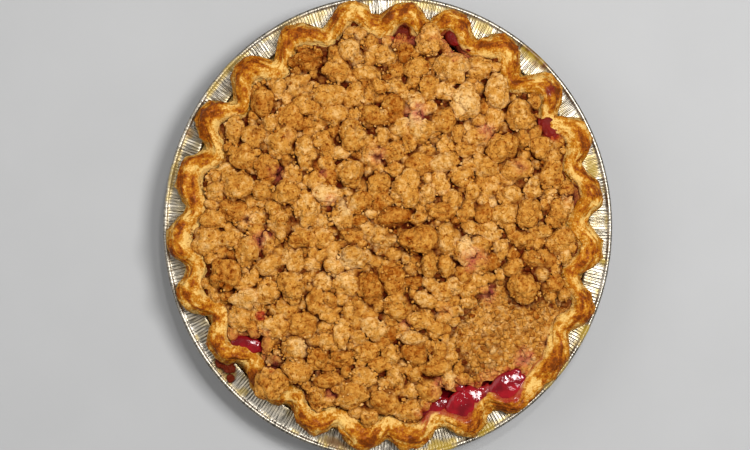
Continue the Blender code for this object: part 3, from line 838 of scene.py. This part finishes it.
def shape_crust(context):
    """The fluted rim of pastry, blistered and flaky, with a skirt that runs down inside the tin."""
    deselect()
    bpy.ops.mesh.primitive_torus_add(
        major_segments=44 * len(FLUTES), minor_segments=72, major_radius=1.0, minor_radius=0.4
    )
    crust = context.object
    points = coordinates(crust)
    phase = np.arctan2(points[:, 0], points[:, 1]) / (2 * math.pi) % 1 * len(FLUTES)
    turn = np.degrees(np.arctan2(points[:, 2], np.hypot(points[:, 0], points[:, 1]) - 1))
    turn = np.where(turn < -30.001, turn + 360, turn)
    clock, middle, half_width, height, inward = rope_at(phase)
    upper = np.radians(np.minimum(turn, 205))
    share = np.maximum((np.sin(upper) + ROPE_FOOT) / (1 + ROPE_FOOT), 0.0)
    radius = middle + half_width * np.cos(upper)
    z = FLANGE_HEIGHT + GAP + share * height
    outer_foot = middle + half_width * math.cos(math.radians(-30))
    corners = [(radius, z), (0.1015, 0.024), (0.1053, 0.024), (0.1091, FLANGE_HEIGHT + GAP),
               (np.maximum(outer_foot, 0.1095), FLANGE_HEIGHT + GAP)]
    under = np.clip((turn - 205) / 125, 0, 1) * 4
    for number in range(4):
        inside = (under > number) & (turn > 205)
        part = np.clip(under - number, 0, 1)
        radius = np.where(inside, mix(corners[number][0], corners[number + 1][0], part), radius)
        z = np.where(inside, mix(corners[number][1], corners[number + 1][1], part), z)
    points = place(clock, radius, z)
    reshape(crust, points)
    facing = normals(crust)
    shown = ease(-29, 0, turn) * (1 - ease(195, 215, turn))
    crest = np.exp(-((turn - 66) / 44) ** 2)
    tips = 1 - inward
    near, _, number = pebbles(points, 7 * MM, 31)
    blister = ease(0.66, 0.15, near) * (number > 0.4) * (0.4 + number)
    small_near, small_next, small_number = pebbles(points, 3.0 * MM, 37)
    small_blister = ease(0.62, 0.1, small_near) * (small_number > 0.45)
    swell = rough(points, 12 * MM, 33, 3)
    puff = rough(points, 4.5 * MM, 34, 2)
    grain = rough(points, 1.7 * MM, 35, 2)
    bend = points[:, 2] + 0.7 * MM * swell + 0.25 * MM * puff
    layers = np.sin(2 * math.pi * bend / (1.6 * MM))
    flaky = ease(80, 25, turn)
    crack = ease(0.09, 0.0, small_next - small_near) * ease(0.0, 0.4, rough(points, 13 * MM, 39, 2))
    lift = 1.1 * swell + 1.5 * puff + 1.0 * blister * (0.3 + crest) + 0.8 * small_blister
    lift += 0.6 * grain + 0.3 * flaky * layers - 0.7 * crack
    points += facing * (lift * shown)[:, None] * MM
    low = FLANGE_HEIGHT + 0.8 * GAP
    points[:, 2] = np.where((radius > 109.0 * MM) & (points[:, 2] < low), low, points[:, 2])
    reshape(crust, points)
    blotch = rough(points, 6 * MM, 41, 4)
    speckle = rough(points, 2.2 * MM, 45, 3)
    left = ease(215, 260, np.degrees(clock)) * (1 - ease(345, 360, np.degrees(clock)))
    toast = 0.32 + crest * (0.1 + 0.3 * tips) + 0.5 * blotch * (0.4 + crest) + 0.44 * speckle * (0.4 + crest)
    # Blisters brown more; the cracks get a little painted shade
    toast += 0.22 * blister * crest + 0.1 * small_blister * crest + 0.1 * crack - 0.06 * flaky * layers
    toast -= ease(95, 165, turn) * mix(0.12, 0.34, left) + 0.06 * left * (1 - tips)
    pink, dark = np.zeros(len(points)), np.zeros(len(points))
    degrees = np.degrees(clock)
    wander = 0.4 * rough(points, 5 * MM, 43, 4)
    for bay, half, first, last, darkness in CRUST_JUICE:
        sideways = apart(degrees, bay) / half
        across = (turn - (first + last) / 2) / ((last - first) / 2)
        share = 1 - ease(0.7, 1.1, np.hypot(sideways, across) + wander)
        pink = np.maximum(pink, 0.85 * share)
        dark = np.maximum(dark, share * darkness)
    paint(crust, "toast", toast)
    paint(crust, "pink", pink)
    paint(crust, "dark", dark)
    finish_piece(crust, "fluted_crust", pastry_material(), ["crust"])


def shape_filling(context):
    """The cherry filling under the crumbs, with the pools that well up by the rim."""
    deselect()
    bpy.ops.mesh.primitive_cylinder_add(
        vertices=192, radius=1.0, depth=1.0, location=(0, 0, 0), end_fill_type="TRIFAN"
    )
    core = context.object
    points = coordinates(core)
    top = points[:, 2] > 0
    clock, radius = np.arctan2(points[:, 0], points[:, 1]), np.hypot(points[:, 0], points[:, 1])
    reshape(core, place(clock, radius * np.where(top, 99 * MM, 88 * MM), np.where(top, FILLING_TOP, 6 * MM)))
    pieces = [core]
    dice = np.random.default_rng(17)
    for clock_angle, distance, wide, deep, slant, z, rise, baked in POOLS:
        deselect()
        bpy.ops.mesh.primitive_ico_sphere_add(subdivisions=6 if wide > 7 else 5, radius=1.0)
        pool = context.object
        directions = coordinates(pool)
        balls = dice.uniform(-1, 1, (9, 3)) * (0.7, 0.7, 0.25)
        reach = np.minimum(cluster(directions, balls, dice.uniform(0.25, 0.5, 9), 0.92), 1.1)
        shape = directions * reach[:, None] * POOL_SPREAD
        shape[:, 2] = np.sign(shape[:, 2]) * np.abs(shape[:, 2]) ** POOL_FLATNESS
        shape[:, 2] += mix(0.16, 0.3, baked) * rough(shape * (wide, deep, 1) + clock_angle, mix(5.5, 1.8, baked), 23, 2)
        middle = math.radians(clock_angle)
        turn = middle - math.radians(slant)
        turned = np.stack([
            shape[:, 0] * wide * math.cos(turn) + shape[:, 1] * deep * math.sin(turn),
            -shape[:, 0] * wide * math.sin(turn) + shape[:, 1] * deep * math.cos(turn),
            shape[:, 2] * rise,
        ], axis=1) * MM
        reshape(pool, turned + place(middle, distance * MM, z * MM))
        paint(pool, "baked", np.full(len(directions), baked))
        pieces.append(pool)
    deselect()
    for piece in pieces:
        piece.select_set(True)
    context.view_layer.objects.active = core
    bpy.ops.object.join()
    finish_piece(core, "cherry_pools", cherry_material(), ["cherry_filling"])


def cluster(directions, centres, radii, core):
    """How far rays from the middle reach through a ball and the smaller balls stuck to it."""
    along = directions @ centres.T
    inside = along ** 2 - (centres ** 2).sum(axis=1) + radii ** 2
    reach = np.where(inside > 0, along + np.sqrt(np.maximum(inside, 0)), 0)
    return np.maximum(reach.max(axis=1), core)


def cap(near, reach=0.95):
    """A rounded cap over each seed, from its distance."""
    return np.sqrt(np.maximum(1 - (near / reach) ** 2, 0))


def fineness_at(points):
    """Where the streusel is rubbed finest, from 0 to 1."""
    clock, radius = polar(points)
    degrees = np.degrees(clock)
    return (1 - ease(16, 32, np.abs(apart(degrees, 132)))) * ease(44 * MM, 66 * MM, radius)


def bed_relief(points):
    """The bed's clumps, pressed together: their height in metres, and the crevices between them."""
    flat = points * (1, 1, 0)
    warps = [hills(flat, 6 * MM, 48), hills(flat, 6 * MM, 49), np.zeros(len(flat))]
    bent = flat + 2.0 * MM * np.stack(warps, axis=1)
    coarse = 1 - 0.75 * fineness_at(points)
    height = 1.0 * rough(flat, 16 * MM, 57, 2)
    crevice = np.zeros(len(flat))
    for spacing, tall, seed, strength in ((11.0, 3.4, 51, 0.9), (5.4, 2.0, 53, 0.7), (2.7, 0.9, 55, 0.35)):
        near, following, _ = pebbles(bent, spacing * MM, seed)
        share = coarse if spacing > 6 else 0.5 + 0.5 * coarse
        height += tall * share * (cap(near, 1.05) - 0.62)
        crevice = np.maximum(crevice, strength * share * ease(0.16, 0.0, following - near))
    height += 0.35 * cap(pebbles(flat, 1.5 * MM, 59)[0])
    return height * MM, crevice


def bed_height(points, depth):
    """The height of the bed's rough top over points."""
    _, radius = polar(points)
    relief, crevice = bed_relief(points)
    _, dark = seepage(points * (1, 1, 0))
    height = crumb_dome(radius) - depth + relief - (0.8 * crevice + 1.6 * dark) * MM
    return np.maximum(height - POOL_DROP * pooled(points), FILLING_TOP + MM)


def shape_bed(context):
    """The bed of fine crumbs under the others, with a rough sandy top."""
    sizes = context.scene.pie_sizes
    deselect()
    bpy.ops.mesh.primitive_grid_add(x_subdivisions=300, y_subdivisions=300, size=2)
    bed = context.object
    points = coordinates(bed)
    across, along = points[:, 0], points[:, 1]
    disc = np.stack([across * np.sqrt(1 - along ** 2 / 2), along * np.sqrt(1 - across ** 2 / 2)], axis=1)
    clock, share = np.arctan2(disc[:, 0], disc[:, 1]), np.hypot(disc[:, 0], disc[:, 1])
    points = place(clock, share * (heap_edge(clock) + 0.8 * MM), 0.0)
    points[:, 2] = bed_height(points, sizes.bed_depth)
    reshape(bed, points)
    bpy.ops.object.mode_set(mode="EDIT")
    bpy.ops.mesh.select_all(action="DESELECT")
    bpy.ops.mesh.select_non_manifold()
    bpy.ops.mesh.extrude_region_move(TRANSFORM_OT_translate={"value": (0, 0, -0.02)})
    bpy.ops.mesh.edge_face_add()
    bpy.ops.object.mode_set(mode="OBJECT")
    closed = coordinates(bed)
    closed[len(points):, 2] = FILLING_TOP + GAP
    reshape(bed, closed)
    fix_normals(bed)
    relief, crevice = bed_relief(closed)
    # Painted shade in the bed's crevices and low hollows
    crevice_shade = np.maximum(0.8 * crevice, ease(-0.6 * MM, -3.2 * MM, relief))
    paint_streusel(bed, closed, 0.34 + 0.1 * rough(closed, 6 * MM, 73, 3) + 0.15 * ease(0, 2.5 * MM, relief), crevice_shade)
    finish_piece(bed, "crumb_bed", streusel_material(), ["crumb_topping"])


def paint_streusel(thing, points, toast, crevice_shade=0.0):
    """Keep at each vertex how toasted it is, how much painted shade it gets for lying deep in a crevice, and how juice
    stained it.
    """
    below = crumb_tray().around(points) - points[:, 2]
    pink, dark = seepage(points)
    paint(thing, "toast", toast - 0.22 * paleness(points))
    # depth is painted shade: darker where a point lies below the crumbs around it, or in a crevice
    paint(thing, "depth", np.maximum(crevice_shade, ease(0.5 * MM, 3.6 * MM, below)))
    paint(thing, "pink", pink * mix(0.5, 1.0, ease(-2 * MM, 1 * MM, below)))
    paint(thing, "wet", (1 - ease(0.9, 1.45, from_pools(points))) * ease(-5 * MM, -1 * MM, below))
    paint(thing, "dark", dark * ease(-1.5 * MM, 0.5 * MM, below))


def lump_place(lump):
    """The middle of a large lump and its size."""
    clock, distance, width, long = lump
    size = np.array((width, long, LUMP_FLATNESS * min(width, long))) * MM
    spot = place(math.radians(clock), distance * MM, 0.0)
    height = crumb_dome(distance * MM) + LUMP_SINK * size[2]
    spread = CRUMB_DOME_RADIUS - RIM_LUMP_RADIUS
    spot[2] = height + RIM_LUMP_LIFT * max(distance * MM - RIM_LUMP_RADIUS, 0) / spread
    return spot, size


def knobs(dice, count, sizes, reach):
    """Small balls stuck all round a larger one: their middles and radii."""
    middles = dice.normal(size=(count, 3))
    middles /= np.linalg.norm(middles, axis=1)[:, None]
    return middles * dice.uniform(*reach, (count, 1)), dice.uniform(*sizes, count)


def clump(dice, directions, big, small):
    """How far a clump pressed from balls reaches along directions, about 1 all round."""
    parts = [knobs(dice, big, (0.42, 0.66), (0.32, 0.56)), knobs(dice, small, (0.12, 0.32), (0.62, 0.84))]
    middles = np.concatenate([part[0] for part in parts])
    radii = np.concatenate([part[1] for part in parts])
    return cluster(directions, middles, radii, 0.62)


def granular(points, seed):
    """How far the granules on a clump stand out, in metres."""
    bent = points + 0.6 * MM * hills(points, 2.5 * MM, seed)[:, None]
    granules = 1.4 * cap(pebbles(bent, 3.0 * MM, seed)[0]) + 0.6 * cap(pebbles(bent, 1.6 * MM, seed + 1)[0])
    return (granules - 1.1 + 0.25 * rough(points, 1.5 * MM, seed + 2, 2)) * MM


def shade_between_granules(grain):
    """How much painted shade each vertex gets between a clump's granules, from how far its granule stands out."""
    return 0.6 * ease(0.35 * MM, -0.7 * MM, grain)


def shape_lumps(context):
    """The largest lumps of streusel: each is pressed from smaller ones, and sandy."""
    dice = np.random.default_rng(29)
    for number, lump in enumerate(LUMPS, 1):
        deselect()
        spot, size = lump_place(lump)
        bpy.ops.mesh.primitive_ico_sphere_add(subdivisions=5, radius=1.0)
        thing = context.object
        directions = coordinates(thing)
        reach = 0.2 + 0.8 * clump(dice, directions, 9, 26)
        reach *= 1 + 0.2 * rough(directions + number, 1.0, number, 2)
        shape = directions * reach[:, None] * size / 2
        grain = granular(shape, 80 + 3 * number)
        shape += directions * grain[:, None]
        points = shape + spot
        reshape(thing, points)
        toast = LUMP_TOAST.get(number, dice.uniform(0.36, 0.5))
        local = toast + 0.16 * ease(0.1, 0.8, rough(shape, 6 * MM, number + 5, 3))
        paint_streusel(thing, points, local, shade_between_granules(grain))
        finish_piece(thing, f"streusel_lump_{number:02d}", streusel_material(),
                     [f"crumb_lump_{number:02d}"])


# Each size of crumb: smallest and largest radius in mm, how many larger and smaller balls are
# pressed into one, how fine its mesh is, and how much of its radius keeps others away
CRUMB_KINDS = {
    "large_crumbs": (5.0, 8.8, 9, 22, 4, 0.74),
    "medium_crumbs": (3.1, 4.9, 6, 12, 3, 0.7),
    "small_crumbs": (1.7, 3.1, 3, 4, 2, 0.68),
    "fine_crumbs": (0.8, 1.7, 2, 2, 2, 0.66),
    "crumb_grains": (0.35, 0.75, 0, 0, 1, 0.6),
}
RASTER = 0.5 * MM
CRUMB_OVERHANG = -1.0 * MM
SURROUND = 9


class Tray:
    """A fine raster over the pie: the room left at each spot, and how high things stand there."""

    def __init__(self, bed_depth):
        reach = np.arange(-124 * MM, 124 * MM, RASTER)
        self.start = reach[0]
        self.east, self.north = np.meshgrid(reach, reach)
        flat = np.stack([self.east.ravel(), self.north.ravel(), np.zeros(self.east.size)], axis=1)
        clock, radius = polar(flat)
        edge = heap_edge(clock)
        _, dark = seepage(flat)
        room = np.where((dark > 0.5) | (pooled(flat) > 0.1), -1.0, edge - radius + CRUMB_OVERHANG)
        middle, half_width, height = rope_under(clock)
        rise = np.sqrt(np.maximum(1 - ((radius - middle) / half_width) ** 2, 0))
        rope = FLANGE_HEIGHT + (rise + ROPE_FOOT) / (1 + ROPE_FOOT) * height * (rise > 0)
        bed = np.where(radius < edge, bed_height(flat, bed_depth), 0)
        shape = self.east.shape
        self.room = room.reshape(shape)
        self.top = np.maximum(bed, rope).reshape(shape)
        self.level = (crumb_dome(radius) + 1.5 * MM * ease(12 * MM, 0, edge - radius)).reshape(shape)
        self.coarseness = self.how_coarse(flat).reshape(shape)
        self.inside = (radius < edge + 3 * MM).reshape(shape)

    def how_coarse(self, flat):
        """The largest radius of crumb that lies at each spot."""
        return mix(8.6, 2.4, fineness_at(flat)) * (1 + 0.2 * rough(flat, 14 * MM, 67, 2)) * MM

    def find(self, radius, keep, dice, tries=10):
        """The tightest of a few free spots for a crumb of a radius, or nothing."""
        free = np.flatnonzero((self.room > keep * radius) & (self.coarseness > radius))
        if not len(free):
            return None
        picked = free[dice.integers(0, len(free), tries)]
        return picked[np.argmin(self.room.ravel()[picked])]

    def put(self, spot, half, keep):
        """Take up the room of a crumb and raise the surface under it."""
        reach = int(half[:2].max() * 1.2 / RASTER) + 8
        column, row = (int((spot[axis] - self.start) / RASTER) for axis in (0, 1))
        window = (slice(max(row - reach, 0), row + reach), slice(max(column - reach, 0), column + reach))
        away = np.hypot((self.east[window] - spot[0]) / half[0], (self.north[window] - spot[1]) / half[1])
        self.room[window] = np.minimum(self.room[window], (away - keep) * half[:2].min())
        dome = spot[2] + half[2] * np.sqrt(np.maximum(1 - away ** 2, 0))
        self.top[window] = np.where(away < 1, np.maximum(self.top[window], dome), self.top[window])

    def settle(self):
        """Work out how high the crumbs stand on average round each spot."""
        total = np.cumsum(np.cumsum(np.pad(self.top, SURROUND, mode="edge"), axis=0), axis=1)
        total = np.pad(total, ((1, 0), (1, 0)))
        side = 2 * SURROUND + 1
        block = total[side:, side:] - total[:-side, side:] - total[side:, :-side] + total[:-side, :-side]
        self.surround = block / side ** 2

    def around(self, points):
        """How high the crumbs stand on average round each point."""
        columns, rows = (np.clip(((points[:, axis] - self.start) / RASTER).astype(int), 0, len(self.top) - 1)
                         for axis in (0, 1))
        return self.surround[rows, columns]


def lay_crumbs(tray, name, wanted, dice):
    """Lay crumbs of one size in the room that is left, largest first: spots, halves and toast."""
    least, most, _, _, fineness, keep = CRUMB_KINDS[name]
    radii = np.sort(least + (most - least) * dice.random(wanted) ** 1.3)[::-1] * MM
    laid = []
    for radius in radii:
        cell = tray.find(radius, keep, dice)
        if cell is None:
            continue
        stretch = dice.uniform(0.8, 1.28)
        half = np.array((radius * stretch, radius / stretch, radius * dice.uniform(0.72, 0.9)))
        if fineness > 2:
            z = tray.level.ravel()[cell] + (0.2 if fineness > 3 else -0.5) * MM + dice.uniform(-0.25, 0.25) * half[2]
        else:
            z = tray.top.ravel()[cell] - dice.uniform(-0.1, 0.45) * half[2]
        spot = np.array((tray.east.ravel()[cell], tray.north.ravel()[cell], z))
        tray.put(spot, half, keep)
        toast = dice.normal(0.4, 0.06) if dice.random() > 0.06 else dice.uniform(0.52, 0.64)
        laid.append((spot, half, toast))
    return [np.array(column) for column in zip(*laid)]


def sprinkle(tray, name, wanted, dice):
    """Drop loose grains wherever they fall on the crumbs: spots, halves and toast."""
    least, most = CRUMB_KINDS[name][:2]
    inside = np.flatnonzero(tray.inside)
    cells = inside[dice.integers(0, len(inside), wanted)]
    radius = dice.uniform(least, most, wanted) * MM
    halves = radius[:, None] * dice.uniform(0.7, 1.3, (wanted, 3))
    spots = np.stack([grid.ravel()[cells] for grid in (tray.east, tray.north, tray.top)], axis=1)
    spots[:, :2] += dice.uniform(-0.5, 0.5, (wanted, 2)) * RASTER
    return [spots, halves, np.clip(dice.normal(0.45, 0.12, wanted), 0.1, 0.9)]


@functools.lru_cache(maxsize=1)
def crumb_layout():
    """Where every crumb lies, worked out once: the tray, and each size's spots and shapes."""
    sizes = bpy.context.scene.pie_sizes
    dice = np.random.default_rng(43)
    tray = Tray(sizes.bed_depth)
    for spot, size in map(lump_place, LUMPS):
        tray.put(spot, size / 2, 0.86)
    laid = {name: lay_crumbs(tray, name, getattr(sizes, name), dice) for name in list(CRUMB_KINDS)[:4]}
    tray.settle()
    laid["crumb_grains"] = sprinkle(tray, "crumb_grains", sizes.grains, dice)
    return tray, laid


def crumb_tray():
    """The raster over the pie with every crumb laid."""
    return crumb_layout()[0]


def shape_crumbs(context):
    """The crumbs between the lumps, one piece for each size, and loose grains on them."""
    for order, name in enumerate(CRUMB_KINDS):
        crumb_mesh(name, crumb_layout()[1][name], np.random.default_rng(60 + order))


def crumb_mesh(name, laid, dice):
    """Many crumbs as one piece: each is a clump of balls, turned its own way."""
    spots, halves, toasts = laid
    _, _, big, small, fineness, _ = CRUMB_KINDS[name]
    deselect()
    bpy.ops.mesh.primitive_ico_sphere_add(subdivisions=fineness, radius=1.0)
    ball = bpy.context.object
    directions = coordinates(ball)
    faces = np.array([tuple(face.vertices) for face in ball.data.polygons])
    bpy.data.objects.remove(ball, do_unlink=True)
    count, size = len(spots), len(directions)
    reach = np.empty((count, size))
    for number in range(count):
        turned = directions @ np.linalg.qr(dice.normal(size=(3, 3)))[0]
        reach[number] = clump(dice, turned, big, small) if big else 1.0
    if fineness < 3:
        reach *= dice.uniform(0.8, 1.2, (count, size))
    points = directions * reach[:, :, None] * halves[:, None, :]
    local = points.reshape(-1, 3) + np.repeat(dice.uniform(-1, 1, (count, 3)), size, axis=0)
    if fineness > 2:
        grain = granular(local, 95)
        crevice_shade = shade_between_granules(grain)
        points += directions * grain.reshape(count, size, 1)
    else:
        # Painted shade: small crumbs lying low among the others are darkened whole
        crevice_shade = np.repeat(0.9 * ease(0.9 * MM, 3.2 * MM, crumb_tray().around(spots) - spots[:, 2]), size)
    points = (points + spots[:, None, :]).reshape(-1, 3)
    all_faces = (faces[None] + np.arange(count)[:, None, None] * size).reshape(-1, 3)
    thing = new_mesh_object(name, points, all_faces.tolist())
    toast = np.repeat(toasts, size) + 0.14 * rough(local, 4 * MM, 97, 2)
    paint_streusel(thing, points, toast, crevice_shade)
    finish_piece(thing, name, streusel_material())


def soft_light(name, spot, power, size):
    """A large soft light that looks at the pie."""
    light = bpy.data.lights.new(name, "AREA")
    light.shape = "DISK"
    light.size = size
    light.energy = power
    lamp = bpy.data.objects.new(name, light)
    lamp.location = spot
    lamp.rotation_euler = (-Vector(spot)).to_track_quat("-Z", "Y").to_euler()
    bpy.context.scene.collection.objects.link(lamp)
    return lamp


def set_stage(context):
    """The pale table, soft light from the right and a camera straight above."""
    stage = context.scene.pie_stage
    deselect()
    bpy.ops.mesh.primitive_plane_add(size=8)
    floor = context.object
    floor.name = "table_top"
    material, tree, shader, spot = new_material("Table")
    tone = noise(tree, spot, 60 * MM, 4.0)
    pale = [channel * 1.04 for channel in stage.floor]
    link_inputs(tree, shader, Base_Color=blend(tree, span(tree, tone, 0.3, 0.7), stage.floor, pale), Roughness=0.6)
    floor.data.materials.append(material)
    soft_light("key_light", (0.42, 0.16, 1.25), stage.key_power, 0.38)
    soft_light("fill_light", (-0.9, 0.3, 1.0), stage.fill_power, 1.2)
    soft_light("glint_light", (0.1, 0.3, 1.25), stage.glint_power, 0.07)
    world = bpy.data.worlds.new("Surroundings")
    context.scene.world = world
    world.use_nodes = True
    sky = world.node_tree
    up = add_node(sky, "ShaderNodeSeparateXYZ", {"Vector": add_node(sky, "ShaderNodeTexCoord").outputs["Generated"]})
    strength = span(sky, up.outputs["Z"], 0.0, 0.9, stage.horizon, stage.sky)
    sky.links.new(strength, sky.nodes["Background"].inputs["Strength"])
    sky.nodes["Background"].inputs["Color"].default_value = (1, 1, 1, 1)
    lens = bpy.data.cameras.new("camera")
    lens.lens = 98.4
    lens.sensor_width = 36.0
    camera = bpy.data.objects.new("camera", lens)
    camera.location = (-6.8 * MM, 1.0 * MM, stage.camera_height + FLANGE_HEIGHT)
    context.scene.collection.objects.link(camera)
    context.scene.camera = camera
    context.scene.view_settings.view_transform = "Standard"


class PIE_OT_tin(bpy.types.Operator):
    """Press the foil tin"""

    bl_idname = "pie.tin"
    bl_label = "Foil tin"

    def execute(self, context):
        shape_tin(context)
        return {"FINISHED"}


class PIE_OT_crust(bpy.types.Operator):
    """Flute and bake the pastry rim"""

    bl_idname = "pie.crust"
    bl_label = "Fluted crust"

    def execute(self, context):
        shape_crust(context)
        return {"FINISHED"}


class PIE_OT_filling(bpy.types.Operator):
    """Pour in the cherry filling"""

    bl_idname = "pie.filling"
    bl_label = "Cherry filling"

    def execute(self, context):
        shape_filling(context)
        return {"FINISHED"}


class PIE_OT_bed(bpy.types.Operator):
    """Spread the bed of fine crumbs"""

    bl_idname = "pie.bed"
    bl_label = "Crumb bed"

    def execute(self, context):
        shape_bed(context)
        return {"FINISHED"}


class PIE_OT_lumps(bpy.types.Operator):
    """Set the largest lumps of streusel"""

    bl_idname = "pie.lumps"
    bl_label = "Streusel lumps"

    def execute(self, context):
        shape_lumps(context)
        return {"FINISHED"}


class PIE_OT_crumbs(bpy.types.Operator):
    """Scatter the crumbs and grains between the lumps"""

    bl_idname = "pie.crumbs"
    bl_label = "Crumbs and grains"

    def execute(self, context):
        shape_crumbs(context)
        return {"FINISHED"}


class PIE_OT_stage(bpy.types.Operator):
    """Set the table, the lights and the camera"""

    bl_idname = "pie.stage"
    bl_label = "Table, light and camera"

    def execute(self, context):
        set_stage(context)
        return {"FINISHED"}


class PIE_PT_panel(bpy.types.Panel):
    """The pie's sizes, finishes and pieces"""

    bl_label = "Crumb cherry pie"
    bl_idname = "PIE_PT_panel"
    bl_space_type = "VIEW_3D"
    bl_region_type = "UI"
    bl_category = "Pie"

    def draw(self, context):
        scene = context.scene
        for settings in (scene.pie_sizes, scene.pie_finishes, scene.pie_stage):
            box = self.layout.box()
            for name in settings.__annotations__:
                box.prop(settings, name)
        for operator in OPERATORS:
            self.layout.operator(operator.bl_idname)


SETTINGS = {"pie_finishes": PieFinishes, "pie_sizes": PieSizes, "pie_stage": PieStage}
OPERATORS = (PIE_OT_tin, PIE_OT_crust, PIE_OT_filling, PIE_OT_bed, PIE_OT_lumps, PIE_OT_crumbs, PIE_OT_stage)
CLASSES = (*SETTINGS.values(), *OPERATORS, PIE_PT_panel)


def register():
    """Make the pie's settings, operators and panel known."""
    for known in CLASSES:
        bpy.utils.register_class(known)
    for name, kind in SETTINGS.items():
        setattr(bpy.types.Scene, name, PointerProperty(type=kind))


def unregister():
    """Take them all away again."""
    for name in SETTINGS:
        delattr(bpy.types.Scene, name)
    for known in reversed(CLASSES):
        bpy.utils.unregister_class(known)


def main():
    """Bake the pie, piece by piece."""
    register()
    for operator in OPERATORS:
        family, name = operator.bl_idname.split(".")
        getattr(getattr(bpy.ops, family), name)()


if __name__ == "__main__":
    main()
